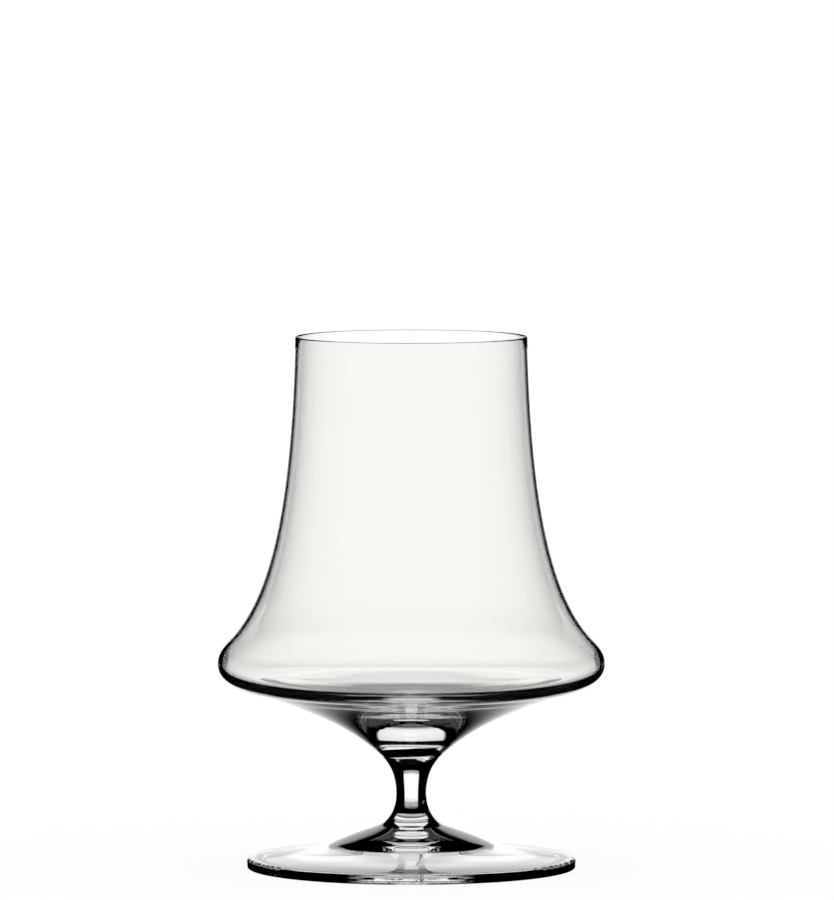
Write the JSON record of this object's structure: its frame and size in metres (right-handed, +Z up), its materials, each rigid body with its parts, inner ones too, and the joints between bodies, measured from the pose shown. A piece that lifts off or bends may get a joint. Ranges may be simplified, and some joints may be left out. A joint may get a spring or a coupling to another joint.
{
  "type": "whisky glass",
  "caption": "Clear stemmed whisky glass: bell bowl with a narrow rim and a wide rounded shoulder, short waisted stem, round domed foot.",
  "frame": {"origin": "centre of the foot's stand ring, on the surface the glass stands on", "axes": "+Z up along the axis of the glass, towards the rim; the glass is round, so X and Y are free"},
  "size_m": [0.1, 0.1, 0.1376],
  "materials": {
    "foot_glass": "clear, fire polished",
    "stem_glass": "clear, fire polished",
    "bowl_glass": "clear, fire polished"
  },
  "bodies": {
    "root": {"foot": "foot_glass", "stem": "stem_glass", "bowl": "bowl_glass"}
  },
  "joints": []
}
